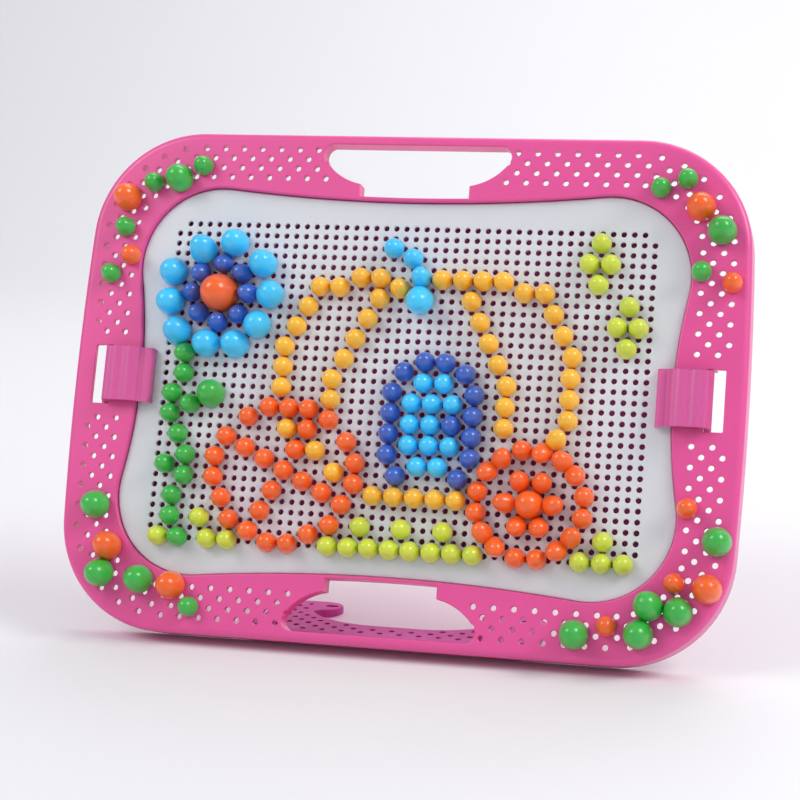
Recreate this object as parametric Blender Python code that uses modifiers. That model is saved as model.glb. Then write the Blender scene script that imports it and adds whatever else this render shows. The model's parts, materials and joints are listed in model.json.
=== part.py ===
"""A mushroom-peg mosaic board for a desk or a child's table.

A perforated border moulding holds a shallow tray. A peg plate closes the tray, two clips
hold the plate down, a fold-out foot leans the board back, and pegs stand in its holes.

The board is drawn lying flat, in millimetres: x across, y up the board, and z out of its
face, with z = 0 on the face of the border. The "board" empty then stands it on the table,
whose origin is under the middle of the whole object.
"""

import math

import bmesh
import bpy
from mathutils import Matrix

MM = 0.001
GAP = 0.3                     # clearance between neighbouring pieces

# How it stands
LEAN = math.radians(20.0)     # the board leans back from upright
DEPTH = 20.0                  # face of the border to its back edge

# Border moulding
BORDER = dict(half_w=162.5, half_h=123.5, corner=54.0, dip_w=-1.5, dip_h=0.0)
SKIN = 2.5                    # thickness of the perforated face
WALL = 2.0
TRAY_WALL = 1.3
TRAY_FLOOR = 2.0
RIM = 0.4                     # the face stands this far past the tray wall at a handle

# Peg plate: its sides curve inwards between round corners
PLATE = dict(half_w=135.3, half_h=95.4, corner=39.0, dip_w=5.4, dip_h=5.2)
PLATE_TOP = -2.5
PLATE_THICK = 2.0
LEDGE = 3.0

# Handle opening, mirrored top and bottom
NECK = 27.0                   # half width where it meets the tray
MOUTH = 46.5                  # half width at the bar
BAR = 5.0                     # bar between the opening and the edge
FLANK_RADIUS = 29.2
MOUTH_CORNER = 5.0
OPENING_WALL = 9.0            # depth of the walls round an opening

# Peg grid and the holes of the border
PITCH = 5.0
PEG_HOLE = 1.6                # corner radius of the eight-sided hole
ROW_INSET = 8.0               # outermost row of border holes to the edge
ROW_STEP = 4.8
STATION_STEP = 4.8
FIRST_STATION = 44.7          # half width of the border left without holes at the handle

# Clips
HINGE_X = 147.0
CLIP_AXIS_Z = -1.4
CLIP_HALF = 13.3
SLOT = dict(x0=144.0, x1=154.0, half=14.5)
CLIP_PIN = 0.75
CLIP_SOCKET = 1.1
BEARING = 2.4                 # the walls that hold a clip's pin reach this far past its axis

# Foot
FOOT_THICK = 5.5
FOOT_SKIN = 2.0
FOOT_AXIS_Y = 4.6             # behind the border's lower back edge
FOOT_BARREL = 2.7
FOOT_HALF = 70.0
FOOT_HINGE_HALF = 62.0
FOOT_DEPTH = 63.0
FOOT_CORNER = 18.0
FOOT_STRIP = 20.3             # far edge of the strip beside the hinge
FOOT_PIN = 1.0
FOOT_SOCKET = 1.4
TONGUE_END = 9.1              # radius of each tongue's round end
TONGUE_X = 45.0
EAR_INNER = 63.0
EAR_THICK = 3.0

# Pegs: radius of the cap, height of the cap
CAPS = {"small": (4.6, 8.8), "medium": (6.4, 12.4), "large": (9.1, 16.5)}
SHANK_RADIUS = 1.3
SHANK_LENGTH = 10.0
PEG_SIDES = 10

COLOURS = {
    "border_pink": (0.88, 0.10, 0.38),
    "clip_pink": (0.75, 0.13, 0.43),
    "plate_white": (0.78, 0.78, 0.82),
    "light_blue": (0.03, 0.46, 0.88),
    "dark_blue": (0.03, 0.09, 0.42),
    "orange": (0.95, 0.13, 0.02),
    "yellow": (0.95, 0.45, 0.03),
    "lime": (0.47, 0.60, 0.04),
    "green": (0.02, 0.30, 0.07),
}

# Motifs whose pegs are pieces here, in millimetres or in steps of the grid from a middle
FLOWER = (-92.5, 42.5)
FLOWER_RING = [(0, 3), (2, 2), (3, 0), (2, -2), (0, -3), (-2, -2), (-3, 0), (-2, 2)]
FLOWER_PETALS = [(1, 5), (4, 3), (4, -3), (2, -5), (-1, -5), (-4, -4), (-5, -1), (-5, 2)]
LEAF = (-92.5, -7.5)
ROOF = (47.5, 52.5)
CLOVERS = [(92.5, 62.5), (107.5, 32.5)]
CLOVER_LEAVES = [(0, 2), (-1, 0), (1, 0), (0, -2)]

# Pegs in the border: quarter, station along it, row from the edge, size and colour
BORDER_PEGS = [
    (0, 16, 3, "small", "green"),
    (0, 18, 1, "small", "green"),
    (0, 21, 2, "medium", "orange"),
    (0, 24, 1, "medium", "green"),
    (0, 28, 3, "small", "green"),
    (0, 29, 0, "small", "orange"),
    (1, 13, 2, "small", "green"),
    (1, 16, 3, "medium", "green"),
    (1, 19, 2, "small", "green"),
    (1, 22, 1, "medium", "orange"),
    (1, 25, 2, "small", "green"),
    (1, 28, 3, "small", "orange"),
    (1, 30, 1, "small", "green"),
    (2, 10, 1, "small", "green"),
    (2, 12, 3, "medium", "orange"),
    (2, 16, 3, "medium", "green"),
    (2, 20, 1, "medium", "green"),
    (2, 22, 3, "medium", "orange"),
    (2, 27, 2, "medium", "green"),
    (3, 10, 1, "medium", "green"),
    (3, 13, 2, "small", "orange"),
    (3, 16, 1, "medium", "green"),
    (3, 18, 3, "medium", "green"),
    (3, 20, 1, "medium", "green"),
    (3, 22, 3, "small", "orange"),
    (3, 23, 0, "medium", "orange"),
    (3, 27, 0, "medium", "green"),
    (3, 30, 3, "small", "orange"),
]


def scene_collection(name):
    collection = bpy.data.collections.new(name)
    bpy.context.scene.collection.children.link(collection)
    return collection


def arc(centre, radius, start, end, steps):
    """Points on an arc, with angles in radians."""
    return [
        (
            centre[0] + radius * math.cos(start + (end - start) * i / steps),
            centre[1] + radius * math.sin(start + (end - start) * i / steps),
        )
        for i in range(steps + 1)
    ]


def bowed_side(reach, along, corner, dip, steps):
    """Half of a bowed side from its middle to the corner's arc, and the arc's extra angle."""
    if dip == 0:
        return [], 0.0
    turn = 2 * math.atan(dip / along)
    radius = along / math.sin(turn) - corner
    points = [
        (
            reach - dip + radius * (1 - math.cos(turn * i / steps)),
            radius * math.sin(turn * i / steps),
        )
        for i in range(steps)
    ]
    return points, turn


def pillow(half_w, half_h, corner, dip_w, dip_h, steps=7):
    """A rounded rectangle whose sides dip inwards (or bulge, where the dip is negative)."""
    centre = (half_w - corner, half_h - corner)
    right, turn_w = bowed_side(half_w, centre[1], corner, dip_w, 3)
    top, turn_h = bowed_side(half_h, centre[0], corner, dip_h, 3)
    quarter = right
    quarter += arc(centre, corner, -turn_w, math.pi / 2 + turn_h, steps)
    quarter += [(x, y) for y, x in reversed(top)]
    half = quarter + [(-x, y) for x, y in reversed(quarter) if x > 1e-6]
    return half + [(x, -y) for x, y in reversed(half) if y > 1e-6]


def inset(points, distance):
    """The outline moved inwards, each corner along its own bisector (outwards if negative)."""
    moved = []
    for i, (x, y) in enumerate(points):
        x0, y0 = points[i - 1]
        x1, y1 = points[(i + 1) % len(points)]
        first = math.atan2(y - y0, x - x0)
        second = math.atan2(y1 - y, x1 - x)
        half_turn = math.remainder(second - first, math.tau) / 2
        normal = first + half_turn + math.pi / 2
        reach = distance / math.cos(half_turn)
        moved.append((x + reach * math.cos(normal), y + reach * math.sin(normal)))
    return moved


def material(name):
    found = bpy.data.materials.get(name)
    if found:
        return found
    made = bpy.data.materials.new(name)
    made.use_nodes = True
    shader = made.node_tree.nodes["Principled BSDF"]
    shader.inputs["Base Color"].default_value = (*COLOURS[name], 1.0)
    shader.inputs["Roughness"].default_value = 0.35
    made.diffuse_color = (*COLOURS[name], 1.0)
    return made


def add_object(name, mesh, collection, parent=None, matrix=None):
    made = bpy.data.objects.new(name, mesh)
    collection.objects.link(made)
    made.parent = parent
    if matrix is not None:
        made.matrix_basis = matrix
    return made


def hide_cutter(cutter):
    cutter.hide_render = True
    cutter.display_type = "WIRE"


def prism(name, outlines, bottom, top, collection, parent=None, matrix=None):
    """A flat shape inside the outlines, holes included, standing from bottom to top."""
    curve = bpy.data.curves.new(name, "CURVE")
    curve.dimensions = "2D"
    curve.fill_mode = "BOTH"
    curve.extrude = (top - bottom) / 2 * MM
    for outline in outlines:
        spline = curve.splines.new("POLY")
        spline.points.add(len(outline) - 1)
        for point, (x, y) in zip(spline.points, outline):
            point.co = (x * MM, y * MM, 0.0, 1.0)
        spline.use_cyclic_u = True
    flat = bpy.data.objects.new(name + "_outline", curve)
    collection.objects.link(flat)
    bpy.context.view_layer.update()
    solid = bpy.data.meshes.new_from_object(flat.evaluated_get(bpy.context.evaluated_depsgraph_get()))
    solid.name = name
    bpy.data.objects.remove(flat)
    bpy.data.curves.remove(curve)
    build = bmesh.new()
    build.from_mesh(solid)
    bmesh.ops.remove_doubles(build, verts=build.verts, dist=0.01 * MM)
    bmesh.ops.dissolve_limit(build, angle_limit=0.001, verts=build.verts, edges=build.edges)
    bmesh.ops.translate(build, verts=build.verts, vec=(0.0, 0.0, (top + bottom) / 2 * MM))
    bmesh.ops.recalc_face_normals(build, faces=build.faces)
    build.to_mesh(solid)
    build.free()
    return add_object(name, solid, collection, parent, matrix)


def rods(name, places, radius, length, axis, sides, collection, parent=None):
    """Separate rods of one size, centred on the places and lying along an axis."""
    turn = {"x": Matrix.Rotation(math.pi / 2, 4, "Y"), "y": Matrix.Rotation(math.pi / 2, 4, "X")}
    build = bmesh.new()
    for place in places:
        at = Matrix.Translation([value * MM for value in place])
        bmesh.ops.create_cone(
            build,
            cap_ends=True,
            segments=sides,
            radius1=radius * MM,
            radius2=radius * MM,
            depth=length * MM,
            matrix=at @ turn.get(axis, Matrix.Identity(4)) @ Matrix.Rotation(math.pi / sides, 4, "Z"),
        )
    mesh = bpy.data.meshes.new(name)
    build.to_mesh(mesh)
    build.free()
    return add_object(name, mesh, collection, parent)


def boolean(target, tool, operation="DIFFERENCE"):
    modifier = target.modifiers.new(operation.lower() + "_" + tool.name, "BOOLEAN")
    modifier.object = tool
    modifier.operation = operation
    modifier.solver = "EXACT"


def handle_outline(side):
    """The handle opening at the top (side 1) or bottom (side -1), reaching into the tray."""
    outer = BORDER["half_h"] - BAR
    right = [(NECK, PLATE["half_h"] - 8.0)]
    right += arc((22.0, 127.7), FLANK_RADIUS, math.radians(-80), math.radians(-36), 5)
    right += arc((MOUTH - MOUTH_CORNER, outer - MOUTH_CORNER), MOUTH_CORNER, math.radians(-15), math.pi / 2, 4)
    whole = right + [(-x, y) for x, y in reversed(right)]
    return [(x, side * y) for x, y in whole[::side]]


def rectangle(x0, x1, y0, y1):
    return [(x0, y0), (x1, y0), (x1, y1), (x0, y1)]


def border_stations():
    """Points and outward directions along the first quarter of the border, handle to clip."""
    corner = BORDER["corner"]
    cx = BORDER["half_w"] - corner
    cy = BORDER["half_h"] - corner
    row = corner - ROW_INSET - 1.5 * ROW_STEP
    straight = cx - FIRST_STATION
    turned = row * math.pi / 2
    stations = []
    travel = 0.0
    while travel < straight + turned + cy - SLOT["half"] - 4.0:
        if travel < straight:
            place, angle = (FIRST_STATION + travel, cy), math.pi / 2
        elif travel < straight + turned:
            place, angle = (cx, cy), math.pi / 2 - (travel - straight) / row
        else:
            place, angle = (cx, cy - (travel - straight - turned)), 0.0
        stations.append((place, angle))
        travel += STATION_STEP
    return stations


def border_hole(quarter, station, row):
    """Where a border hole is: quarters run 0 to 3 anticlockwise from the top right."""
    (x, y), angle = border_stations()[station]
    reach = BORDER["corner"] - ROW_INSET - row * ROW_STEP
    x += reach * math.cos(angle)
    y += reach * math.sin(angle)
    return (x if quarter in (0, 3) else -x), (y if quarter in (0, 1) else -y)


def lower_edge_y():
    """Where the border's lower back edge stands, with the origin midway from front to back."""
    half = BORDER["half_h"]
    cap_tip = GAP + CAPS["medium"][1]
    lowest_peg = ROW_INSET + ROW_STEP
    front = lowest_peg * math.sin(LEAN) - (DEPTH + cap_tip) * math.cos(LEAN)
    back = 2 * half * math.sin(LEAN)
    return -(front + back) / 2


def make_board_empty(collection):
    board = bpy.data.objects.new("board", None)
    collection.objects.link(board)
    board.rotation_euler = (math.pi / 2 - LEAN, 0.0, 0.0)
    half = BORDER["half_h"]
    board.location = (
        0.0,
        (lower_edge_y() + half * math.sin(LEAN) - DEPTH * math.cos(LEAN)) * MM,
        (half * math.cos(LEAN) + DEPTH * math.sin(LEAN)) * MM,
    )
    return board


def make_border(parts, cutters, board, peg_places):
    outer = pillow(**BORDER)
    seat = inset(pillow(**PLATE), -0.35)
    tray_outer = inset(seat, -TRAY_WALL)
    border = prism("border_tray", [outer], -DEPTH, 0.0, parts, board)
    border.data.materials.append(material("border_pink"))

    seat_cut = prism("seat_cut", [seat], PLATE_TOP - PLATE_THICK - GAP, 1.0, cutters, board)
    tray = inset(pillow(**PLATE), LEDGE)
    tray_cut = prism("tray_cut", [tray], TRAY_FLOOR - DEPTH, 1.5, cutters, board)
    hollow = prism("hollow_cut", [inset(outer, WALL), tray_outer], -DEPTH - 1.0, -SKIN, cutters, board)
    rim = prism("rim_keep", [inset(tray_outer, -RIM)], -DEPTH - 2.0, 2.0, cutters, board)

    boolean(border, seat_cut)
    boolean(border, tray_cut)
    for side, place in ((1, "top"), (-1, "bottom")):
        opening = handle_outline(side)
        walls = prism(place + "_opening_walls", [inset(opening, -WALL)], -OPENING_WALL, 0.0, cutters, board)
        boolean(hollow, walls)
        handle = prism(place + "_opening_cut", [opening], -DEPTH - 1.5, 1.5, cutters, board)
        boolean(handle, rim)
        boolean(border, handle)
    for side, place in ((1, "right"), (-1, "left")):
        x0, x1 = sorted((side * SLOT["x0"], side * SLOT["x1"]))
        slot = rectangle(x0, x1, -SLOT["half"], SLOT["half"])
        x0, x1 = sorted((side * (SLOT["x0"] - WALL), side * (HINGE_X + BEARING)))
        ends = SLOT["half"] + 2 * WALL
        bearings = prism(place + "_bearings", [rectangle(x0, x1, -ends, ends)], -OPENING_WALL, 0.0, cutters, board)
        boolean(hollow, bearings)
        boolean(border, prism(place + "_slot_cut", [slot], -DEPTH, 1.0, cutters, board))
    boolean(border, hollow)
    for side, place in ((1, "right"), (-1, "left")):
        boolean(border, make_ear(place + "_ear", side, cutters), "UNION")
    axle = 2 * (CLIP_HALF + 2 * WALL)
    places = [(side * HINGE_X, 0.0, CLIP_AXIS_Z) for side in (1, -1)]
    boolean(border, rods("clip_sockets", places, CLIP_SOCKET, axle, "y", 8, cutters, board))
    holes = [(x, y, -SKIN / 2) for x, y in peg_places]
    boolean(border, rods("border_peg_holes", holes, PEG_HOLE, 2 * SKIN, "z", 8, cutters, board))


def make_ear(name, side, cutters):
    """A gusset on the border's lower wall with the socket of the foot's hinge pin."""
    sine, cosine = math.sin(LEAN), math.cos(LEAN)
    rim = arc((FOOT_AXIS_Y, FOOT_THICK / 2), FOOT_BARREL, math.radians(-110), math.radians(75), 9)
    # (up the board, into its depth) from the lower back edge, for the points inside the border
    inside = [(7.5, 0.5), (1.0, 12.0), (0.6, 0.5)]
    rim += [(up * sine - depth * cosine, up * cosine + depth * sine) for up, depth in inside]
    middle = side * (EAR_INNER + EAR_THICK / 2)
    upright = Matrix.Translation((middle * MM, lower_edge_y() * MM, 0.0)) @ Matrix(
        ((0, 0, 1, 0), (1, 0, 0, 0), (0, 1, 0, 0), (0, 0, 0, 1))
    )
    ear = prism(name, [rim], -EAR_THICK / 2, EAR_THICK / 2, cutters, matrix=upright)
    place = [(middle, lower_edge_y() + FOOT_AXIS_Y, FOOT_THICK / 2)]
    boolean(ear, rods(name + "_socket", place, FOOT_SOCKET, 2 * EAR_THICK, "x", 8, cutters))
    return ear


def make_plate(parts, cutters, board, peg_places):
    plate = prism("peg_plate", [pillow(**PLATE)], PLATE_TOP - PLATE_THICK, PLATE_TOP, parts, board)
    plate.data.materials.append(material("plate_white"))
    holes = [(x, y, PLATE_TOP - PLATE_THICK / 2) for x, y in peg_places]
    boolean(plate, rods("plate_peg_holes", holes, PEG_HOLE, 2 * PLATE_THICK, "z", 8, cutters, board))


def clip_outline(side):
    """A clip across the border, from its hinge barrel to the lip on the plate."""
    shell = [(1.7, 0.0), (3.2, 4.0), (9.5, 5.2), (16.4, 4.6), (17.2, 3.0), (21.6, 2.2), (22.0, -0.7)]
    shell += [(24.0, -0.7), (24.0, 2.9), (22.8, 4.2), (19.7, 4.6), (18.9, 4.4), (18.3, 5.6)]
    shell += [(16.5, 6.3), (9.5, 6.9), (2.0, 6.0), (-1.5, 4.0)]
    barrel = arc((0.0, 0.0), 1.7, math.pi, math.tau, 6)
    return [(-side * u, w) for u, w in shell + barrel[:-1]]


def make_clip(side, name, parts, cutters, board):
    axis = bpy.data.objects.new(name + "_axis", None)
    parts.objects.link(axis)
    axis.parent = board
    axis.location = (side * HINGE_X * MM, 0.0, CLIP_AXIS_Z * MM)
    upright = Matrix.Rotation(math.pi / 2, 4, "X")
    clip = prism(name, [clip_outline(side)], -CLIP_HALF, CLIP_HALF, parts, axis, upright)
    clip.data.materials.append(material("clip_pink"))
    pin = rods(name + "_pin", [(0, 0, 0)], CLIP_PIN, 2 * (CLIP_HALF + 2.2), "y", 8, cutters, axis)
    boolean(clip, pin, "UNION")


def foot_outline():
    """The foot from above: a strip along the hinge, two arms, and tongues that curl in."""
    far = FOOT_DEPTH
    right = [(FOOT_HINGE_HALF, FOOT_AXIS_Y), (FOOT_HINGE_HALF, 8.6), (FOOT_HALF, 9.6)]
    right += arc((FOOT_HALF - FOOT_CORNER, far - FOOT_CORNER), FOOT_CORNER, 0.0, math.pi / 2, 6)
    right += arc((TONGUE_X, far - TONGUE_END), TONGUE_END, math.pi / 2, 3 * math.pi / 2, 8)
    curve = arc((12.0, FOOT_STRIP + 40.2), 40.2, math.radians(-32), math.radians(-90), 6)
    right += [(curve[0][0], curve[0][1] + 3.0)] + curve
    return right + [(-x, y) for x, y in reversed(right)]


def tongue_slot(side):
    """The long hole near the end of a tongue."""
    y = FOOT_DEPTH - TONGUE_END
    x0, x1 = TONGUE_X - 5.0, TONGUE_X - 2.0
    points = arc((x1, y), 1.8, -math.pi / 2, math.pi / 2, 4) + arc((x0, y), 1.8, math.pi / 2, 3 * math.pi / 2, 4)
    return [(side * x, y) for x, y in points[::side]]


def make_foot(parts, cutters):
    axis = bpy.data.objects.new("foot_axis", None)
    parts.objects.link(axis)
    axis.location = (0.0, (lower_edge_y() + FOOT_AXIS_Y) * MM, FOOT_THICK / 2 * MM)
    from_axis = Matrix.Translation((0.0, -FOOT_AXIS_Y * MM, -FOOT_THICK / 2 * MM))
    foot = prism("foot", [foot_outline()], 0.0, FOOT_THICK, parts, axis, from_axis)
    foot.data.materials.append(material("clip_pink"))
    inner = inset(foot_outline(), WALL)
    boolean(foot, prism("foot_hollow", [inner], -1.0, FOOT_THICK - FOOT_SKIN, cutters, axis, from_axis))
    slots = [tongue_slot(side) for side in (1, -1)]
    boolean(foot, prism("tongue_slots", slots, 0.5, FOOT_THICK + 1.0, cutters, axis, from_axis))
    middle = [(0.0, 0.0, 0.0)]
    barrel = rods("foot_barrel", middle, FOOT_BARREL, 2 * FOOT_HINGE_HALF, "x", 16, cutters, axis)
    boolean(foot, barrel, "UNION")
    pin_length = 2 * (EAR_INNER + EAR_THICK)
    boolean(foot, rods("foot_pins", middle, FOOT_PIN, pin_length, "x", 8, cutters, axis), "UNION")


def peg_mesh(size):
    """Half the section of a peg, from the tip of its cap down to the end of its shank."""
    radius, height = CAPS[size]
    dome = [(radius * math.cos(a), GAP + height * math.sin(a)) for a in map(math.radians, (90, 60, 32))]
    section = dome + [(radius, GAP), (SHANK_RADIUS, GAP), (SHANK_RADIUS, -SHANK_LENGTH + 1.2)]
    section += [(0.6 * SHANK_RADIUS, -SHANK_LENGTH), (0.0, -SHANK_LENGTH)]
    mesh = bpy.data.meshes.new("peg_" + size)
    points = [(r * MM if r > 1e-6 else 0.0, 0.0, z * MM) for r, z in section]
    mesh.from_pydata(points, [(i, i + 1) for i in range(len(points) - 1)], [])
    return mesh


def add_peg(name, size, colour, place, parts, board):
    mesh = bpy.data.meshes.get(f"peg_{size}_{colour}")
    if mesh is None:
        mesh = peg_mesh(size)
        mesh.name = f"peg_{size}_{colour}"
        mesh.materials.append(material(colour))
    peg = add_object(name, mesh, parts, board, Matrix.Translation([v * MM for v in place]))
    turn = peg.modifiers.new("turn", "SCREW")
    turn.steps = PEG_SIDES
    turn.render_steps = PEG_SIDES
    turn.use_merge_vertices = True
    turn.merge_threshold = 0.00001


def plate_pegs():
    """Name, size, colour and place of each peg that stands in the plate."""
    def steps(middle, offsets):
        return [(middle[0] + i * PITCH, middle[1] + j * PITCH) for i, j in offsets]

    pegs = [
        ("flower_middle", "large", "orange", FLOWER),
        ("stem_leaf", "medium", "green", LEAF),
        ("coach_roof", "small", "yellow", ROOF),
    ]
    for i, place in enumerate(steps(FLOWER, FLOWER_RING), 1):
        pegs.append((f"flower_ring_{i}", "small", "dark_blue", place))
    for i, place in enumerate(steps(FLOWER, FLOWER_PETALS), 1):
        pegs.append((f"flower_petal_{i}", "medium", "light_blue", place))
    for clover, middle in zip(("upper", "lower"), CLOVERS):
        for i, place in enumerate(steps(middle, CLOVER_LEAVES), 1):
            pegs.append((f"{clover}_clover_{i}", "small", "lime", place))
    return pegs


def border_pegs():
    """Name, size, colour and place of each peg that stands in the border."""
    quarters = ("top_right", "top_left", "bottom_left", "bottom_right")
    pegs = []
    for quarter, station, row, size, colour in BORDER_PEGS:
        name = f"{quarters[quarter]}_peg_{station}"
        pegs.append((name, size, colour, border_hole(quarter, station, row)))
    return pegs


def main():
    for old in list(bpy.data.objects):
        bpy.data.objects.remove(old)
    parts = scene_collection("mosaic_board")
    cutters = scene_collection("cutters")
    board = make_board_empty(parts)
    in_plate = plate_pegs()
    in_border = border_pegs()
    make_border(parts, cutters, board, [place for *_, place in in_border])
    make_plate(parts, cutters, board, [place for *_, place in in_plate])
    make_clip(-1, "left_clip", parts, cutters, board)
    make_clip(1, "right_clip", parts, cutters, board)
    make_foot(parts, cutters)
    for name, size, colour, (x, y) in in_plate:
        add_peg(name, size, colour, (x, y, PLATE_TOP), parts, board)
    for name, size, colour, (x, y) in in_border:
        add_peg(name, size, colour, (x, y, 0.0), parts, board)
    for tool in cutters.objects:
        hide_cutter(tool)


main()
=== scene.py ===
"""Looks of a mushroom-peg mosaic board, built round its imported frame.

The board is drawn lying flat, in millimetres, as the part is: x across, y up the board and
z out of its face, with z = 0 on the face of the border. board_matrix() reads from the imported
record how that flat drawing stands on the table.
"""

import json
import math
import random

import bmesh
import bpy
from mathutils import Matrix, Vector

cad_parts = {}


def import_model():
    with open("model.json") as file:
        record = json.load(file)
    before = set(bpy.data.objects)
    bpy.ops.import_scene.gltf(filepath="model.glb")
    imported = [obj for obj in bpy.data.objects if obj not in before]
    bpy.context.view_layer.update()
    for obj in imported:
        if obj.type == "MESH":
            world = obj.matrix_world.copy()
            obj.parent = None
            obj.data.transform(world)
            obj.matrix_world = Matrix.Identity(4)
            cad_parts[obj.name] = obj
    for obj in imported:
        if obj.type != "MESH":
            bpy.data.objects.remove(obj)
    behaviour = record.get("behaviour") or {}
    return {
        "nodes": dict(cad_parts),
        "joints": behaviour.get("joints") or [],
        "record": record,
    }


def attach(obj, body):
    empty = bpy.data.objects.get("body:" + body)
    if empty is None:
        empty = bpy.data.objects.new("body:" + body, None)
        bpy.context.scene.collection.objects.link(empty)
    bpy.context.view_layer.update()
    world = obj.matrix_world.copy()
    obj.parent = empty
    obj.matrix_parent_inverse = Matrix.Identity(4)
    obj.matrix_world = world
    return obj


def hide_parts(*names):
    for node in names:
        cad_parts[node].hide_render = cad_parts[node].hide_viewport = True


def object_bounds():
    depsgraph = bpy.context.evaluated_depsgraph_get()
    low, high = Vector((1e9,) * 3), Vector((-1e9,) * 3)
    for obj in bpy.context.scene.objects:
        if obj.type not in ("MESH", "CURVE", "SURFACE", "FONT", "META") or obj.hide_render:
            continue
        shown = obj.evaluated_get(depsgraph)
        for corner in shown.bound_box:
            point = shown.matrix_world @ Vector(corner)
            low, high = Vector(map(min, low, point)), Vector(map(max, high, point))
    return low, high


MM = 0.001
TINY = 1e-6

# Border moulding
DEPTH = 20.0
BORDER = dict(half_w=162.5, half_h=123.5, corner=54.0, dip_w=-1.5, dip_h=0.0)
BORDER_EDGE = 3.2             # rounding of its outer front edge
BACK_EDGE = 0.6               # and of its outer back edge
SKIN = 2.5
WALL = 2.0
GAP = 0.3
SEAT_GAP = 0.35
SEAT_FLARE = 0.8
TRAY_WALL = 1.3
TRAY_FLOOR = 2.0
RIM = 0.4
RIM_EDGE = 0.35
PAST = 1.0                    # how far a cutter reaches past the surface it breaks through

# Marks of the mould on the tray's back
GROOVE_INSET = 7.0
GROOVE_WIDTH = 1.6
GROOVE_DEPTH = 0.6
PRINT_RADIUS = 3.5
PRINT_DEPTH = 0.3
PRINTS_ACROSS = (-96.0, -48.0, 0.0, 48.0, 96.0)
PRINTS_UP = (-58.0, 58.0)

# Peg plate
PLATE = dict(half_w=135.3, half_h=95.4, corner=39.0, dip_w=5.4, dip_h=5.2)
PLATE_TOP = -2.5
PLATE_THICK = 2.0
PLATE_BACK_EDGE = 0.2
PLATE_EDGE = 0.6
LEDGE = 3.0

# Handle openings
NECK = 27.0                   # half its width where it reaches into the tray
NECK_REACH = 8.0
MOUTH = 46.5                  # half its width beside the outer bar
BAR = 5.0
FLANK_RADIUS = 29.2
FLANK_CENTRE = (22.0, 127.7)
MOUTH_CORNER = 5.0
OPENING_WALL = 9.0
OPENING_FLARE = 0.7

# Peg holes
PITCH = 5.0
COLUMNS = 48
ROWS = 32
PEG_HOLE = 1.42
BORDER_FLARE = 0.35           # rounding of the holes' upper edges in each moulding
PLATE_FLARE = 0.22
FOOT_FLARE = 0.25
FLARE_STEPS = 2               # few, because there are 1,828 holes
ROW_INSET = 8.0               # outermost row of border holes to the edge
ROW_STEP = 4.8
STATION_STEP = 4.8
FIRST_STATION = 44.7          # half width of the border left without holes at the handle
LAST_STATION = 4.0            # and how far they stay from the clip's slot

# Clips
HINGE_X = 147.0
CLIP_AXIS_Z = -1.4
CLIP_HALF = 13.3
SLOT = dict(x0=145.0, x1=154.0, half=14.5)
SLOT_CORNER = 0.8
SLOT_FLARE = 0.4
CLIP_RIDGE = 0.70             # height of the two ridges along its crown
CLIP_BARREL = 1.68
CLIP_EDGE = 0.2
CLIP_PIN = 0.75
CLIP_PIN_REACH = 2.2
CLIP_SOCKET = 1.1
BEARING = 2.4
BEARING_CORNER = 0.5

# Foot
FOOT_THICK = 5.5
FOOT_TIP = 3.0                # its thickness at the outer end
FOOT_BACK_EDGE = 0.3
FOOT_EDGE = 0.9
FOOT_SKIN = 2.0
FOOT_AXIS_Y = 4.6
FOOT_BARREL = 2.7
FOOT_HALF = 70.0
FOOT_HINGE_HALF = 62.0
FOOT_NECK = 8.6               # where it widens behind the hinge
FOOT_SHOULDER = 3.0
FOOT_SHOULDER_BACK = 4.0
FOOT_DEPTH = 63.0
FOOT_CORNER = 18.0
FOOT_STRIP = 20.3
FOOT_CURVE = 40.2             # radius of its inner edge, and where that curve starts
FOOT_CURVE_X = 12.0
FOOT_PIN = 1.0
FOOT_SOCKET = 1.4
FOOT_HOLE_ACROSS = 4.8        # the foot's staggered rows of holes
FOOT_HOLE_ROW = 4.7
FOOT_FIRST_ROW = 8.4
FOOT_ROWS = 12
FOOT_COLUMNS = 15             # to each side of the middle
FOOT_MARGIN = 3.2
TONGUE_END = 9.1
TONGUE_X = 45.0
TONGUE_SLOT = 1.8             # half width of the long hole in a tongue
TONGUE_SLOT_ENDS = (2.0, 5.0)
TONGUE_SLOT_FLARE = 0.3
TONGUE_CLEAR = (4.5, 1.0)     # how far the round holes stay from it
EAR_INNER = 63.0
EAR_THICK = 3.0
EAR_EDGE = 0.3
# The gusset's corners inside the border: up the board and into its depth, from the lower back edge
EAR_ROOT = [(7.5, 0.5), (1.0, 12.0), (0.6, 0.5)]

# Pegs: radius of the cap and its height, radius of the shank and its length
CAPS = {"small": (4.85, 8.8), "medium": (6.9, 12.4), "large": (9.4, 16.5)}
SHANK = 1.2
SHANK_LENGTH = 10.0
CAP_SIDES = {"small": 28, "medium": 36, "large": 44}
CAP_STEPS = 13                # steps up the dome
CAP_LIP = 0.35
CAP_BLUNT = 0.86              # below 1 the dome is blunter than an ellipse
CAP_WIDEST = 0.3              # height of a cap's widest part as a share of its height
CAP_CLEARANCE = 0.06

# How the pegs lean and vary
SEED = 12
LEAN = 0.12
TONE = 0.05
LEAN_ROOM = 3.0               # pegs whose caps are further apart never meet
LEAN_SINK = 0.15              # how far a leaning cap's lip may sink before it is lifted
SETTLE_PASSES = 200

# Linear colours
COLOURS = {
    "border_pink": (0.77, 0.08, 0.31),
    "clip_pink": (0.66, 0.095, 0.32),
    "foot_pink": (0.60, 0.085, 0.37),
    "plate_white": (0.80, 0.86, 0.97),
    "light_blue": (0.05, 0.58, 0.97),
    "dark_blue": (0.045, 0.12, 0.50),
    "orange": (0.93, 0.135, 0.015),
    "yellow": (0.95, 0.50, 0.035),
    "lime": (0.62, 0.72, 0.055),
    "green": (0.04, 0.45, 0.06),
}

# Angle in degrees at which a rounded edge starts
EDGE_START = 8

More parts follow.
